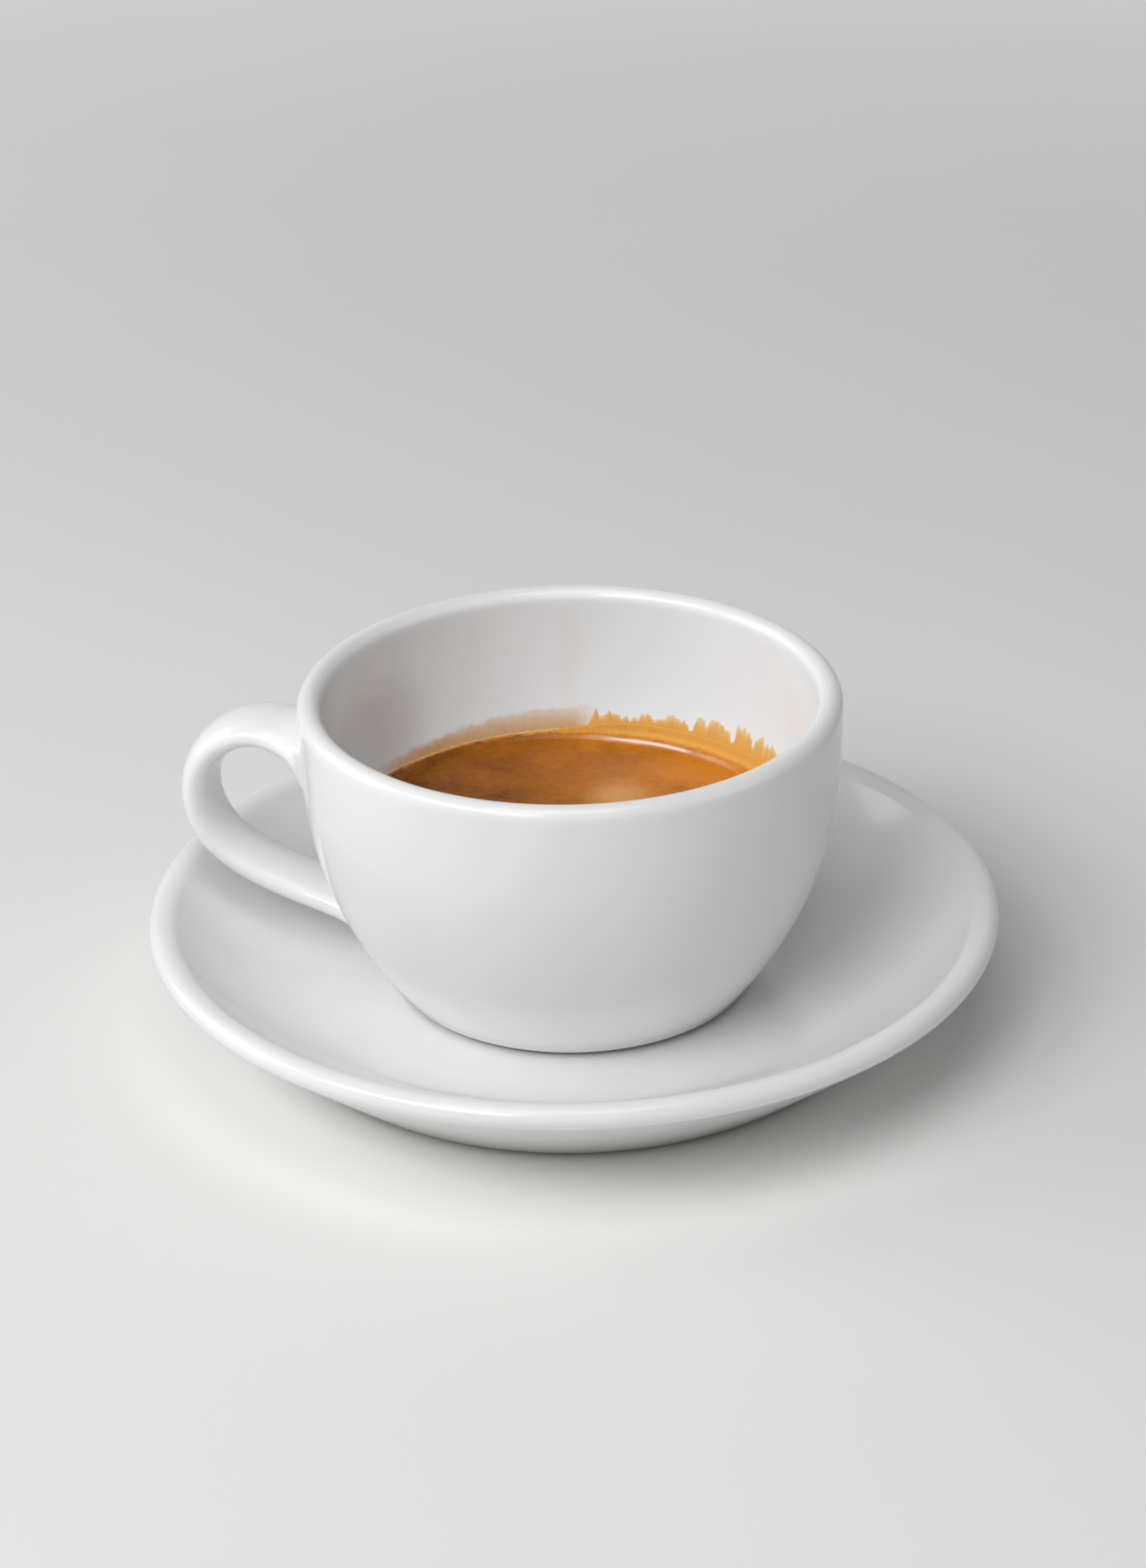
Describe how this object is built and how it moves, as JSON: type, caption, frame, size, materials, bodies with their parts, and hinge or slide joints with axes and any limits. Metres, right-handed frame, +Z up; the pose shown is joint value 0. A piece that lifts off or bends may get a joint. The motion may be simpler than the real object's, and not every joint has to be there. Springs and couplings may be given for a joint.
{
  "type": "espresso with crema in a cup and saucer",
  "caption": "White porcelain cup with a looped strap handle, part filled with crema-topped espresso, standing on a shallow round saucer with a rolled lip.",
  "frame": {"origin": "middle of the saucer's foot, on the table", "axes": "+Z up, along the axis of cup and saucer; the handle points along -X"},
  "size_m": [0.15, 0.15, 0.062],
  "materials": {
    "porcelain": "gloss",
    "coffee": "gloss",
    "crema": "satin"
  },
  "bodies": {
    "root": {"saucer": "porcelain", "cup": "porcelain", "coffee": "coffee", "crema": "crema"}
  },
  "joints": []
}
